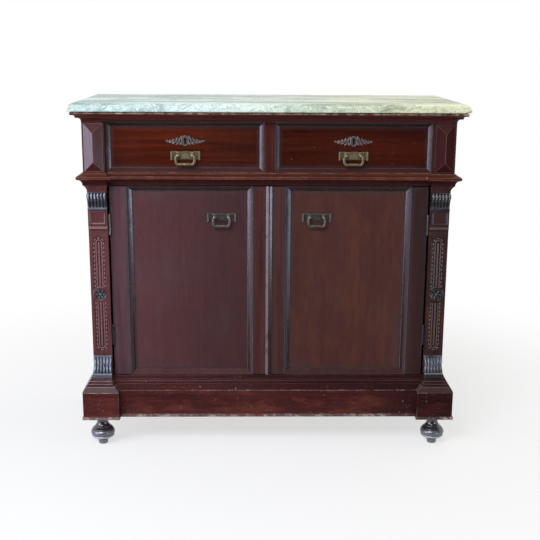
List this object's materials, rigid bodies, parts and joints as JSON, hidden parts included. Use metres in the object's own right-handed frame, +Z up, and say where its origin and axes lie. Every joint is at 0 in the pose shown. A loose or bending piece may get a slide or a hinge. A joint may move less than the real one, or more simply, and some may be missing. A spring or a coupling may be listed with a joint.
{
  "type": "marble-top cabinet",
  "caption": "Marble-top wooden cabinet with drawers over a cupboard, carved corner pilasters, moulded plinth and turned feet; drawers slide, doors swing.",
  "frame": {"origin": "On the floor, under the middle of the marble top.", "axes": "+X to the viewer's right along the front, +Y from the front to the back, +Z up."},
  "size_m": [1.1, 0.482, 1.004],
  "materials": {
    "marble": "polished, mottled pale green-grey",
    "veneered_wood": "worn red-brown varnish",
    "ebonised_wood": "black gloss varnish",
    "inner_wood": "planed, unvarnished",
    "aged_brass": "dulled cast brass",
    "dark_brass": "darkened cast brass",
    "steel": "dull iron"
  },
  "bodies": {
    "carcass": {"marble_top": "marble", "rosettes": "ebonised_wood", "feet": "ebonised_wood", "drawer_divider": "veneered_wood", "hinge_frame_leaves": "steel", "hinge_pins": "steel", "cornice": "veneered_wood", "waist_moulding": "veneered_wood", "front_posts": "veneered_wood", "side_frames": "veneered_wood", "side_panels": "veneered_wood", "waist_rail": "veneered_wood", "corner_blocks": "veneered_wood", "capitals": "veneered_wood", "pilaster_shafts": "veneered_wood", "pilaster_bases": "veneered_wood", "plinth_caps": "veneered_wood", "base_moulding": "veneered_wood", "plinth_blocks": "veneered_wood", "plinth_boards": "veneered_wood", "top_frame": "inner_wood", "back_boards": "inner_wood", "cupboard_floor": "inner_wood", "shelf": "inner_wood", "battens": "inner_wood", "dust_board": "inner_wood", "drawer_runners": "inner_wood", "drawer_guides": "inner_wood"},
    "drawer_left": {"drawer_left_front": "veneered_wood", "drawer_left_moulding": "veneered_wood", "drawer_left_box": "inner_wood", "drawer_left_bottom": "inner_wood", "drawer_left_escutcheon": "dark_brass", "drawer_left_lock_case": "steel", "drawer_left_pull_plate": "aged_brass"},
    "drawer_left_lock_bolt_body": {"drawer_left_lock_bolt": "aged_brass"},
    "drawer_left_bail_body": {"drawer_left_bail": "aged_brass"},
    "door_left": {"door_left_frame": "veneered_wood", "door_left_panel": "veneered_wood", "door_left_moulding": "veneered_wood", "door_left_hinge_leaves": "steel", "door_left_pull_plate": "dark_brass"},
    "door_left_bail_body": {"door_left_bail": "dark_brass"},
    "drawer_right": {"drawer_right_front": "veneered_wood", "drawer_right_moulding": "veneered_wood", "drawer_right_box": "inner_wood", "drawer_right_bottom": "inner_wood", "drawer_right_escutcheon": "dark_brass", "drawer_right_lock_case": "steel", "drawer_right_pull_plate": "aged_brass"},
    "drawer_right_lock_bolt_body": {"drawer_right_lock_bolt": "aged_brass"},
    "drawer_right_bail_body": {"drawer_right_bail": "aged_brass"},
    "door_right": {"door_right_frame": "veneered_wood", "door_right_panel": "veneered_wood", "door_right_moulding": "veneered_wood", "door_right_hinge_leaves": "steel", "door_right_pull_plate": "dark_brass"},
    "door_right_bail_body": {"door_right_bail": "dark_brass"}
  },
  "joints": [
    {"name": "door_left_swing", "type": "hinge", "parent": "carcass", "child": "door_left", "pos_m": [-0.4506, -0.1932, 0.495], "axis": [0, 0, -1], "range_deg": [0, 100]},
    {"name": "door_left_bail_swing", "type": "hinge", "parent": "door_left", "child": "door_left_bail_body", "pos_m": [-0.135, -0.191, 0.684], "axis": [-1, 0, 0], "range_deg": [0, 90]},
    {"name": "drawer_left_slide", "type": "slide", "parent": "carcass", "child": "drawer_left", "axis": [0, -1, 0], "range_m": [0, 0.3]},
    {"name": "drawer_left_bail_swing", "type": "hinge", "parent": "drawer_left", "child": "drawer_left_bail_body", "pos_m": [-0.2345, -0.198, 0.86], "axis": [-1, 0, 0], "range_deg": [0, 90]},
    {"name": "drawer_left_bolt_slide", "type": "slide", "parent": "drawer_left", "child": "drawer_left_lock_bolt_body", "axis": [0, 0, 1], "range_m": [0, 0.008]},
    {"name": "door_right_swing", "type": "hinge", "parent": "carcass", "child": "door_right", "pos_m": [0.4506, -0.1932, 0.495], "axis": [0, 0, 1], "range_deg": [0, 100]},
    {"name": "door_right_bail_swing", "type": "hinge", "parent": "door_right", "child": "door_right_bail_body", "pos_m": [0.135, -0.191, 0.684], "axis": [-1, 0, 0], "range_deg": [0, 90]},
    {"name": "drawer_right_slide", "type": "slide", "parent": "carcass", "child": "drawer_right", "axis": [0, -1, 0], "range_m": [0, 0.3]},
    {"name": "drawer_right_bail_swing", "type": "hinge", "parent": "drawer_right", "child": "drawer_right_bail_body", "pos_m": [0.2345, -0.198, 0.86], "axis": [-1, 0, 0], "range_deg": [0, 90]},
    {"name": "drawer_right_bolt_slide", "type": "slide", "parent": "drawer_right", "child": "drawer_right_lock_bolt_body", "axis": [0, 0, 1], "range_m": [0, 0.008]}
  ]
}
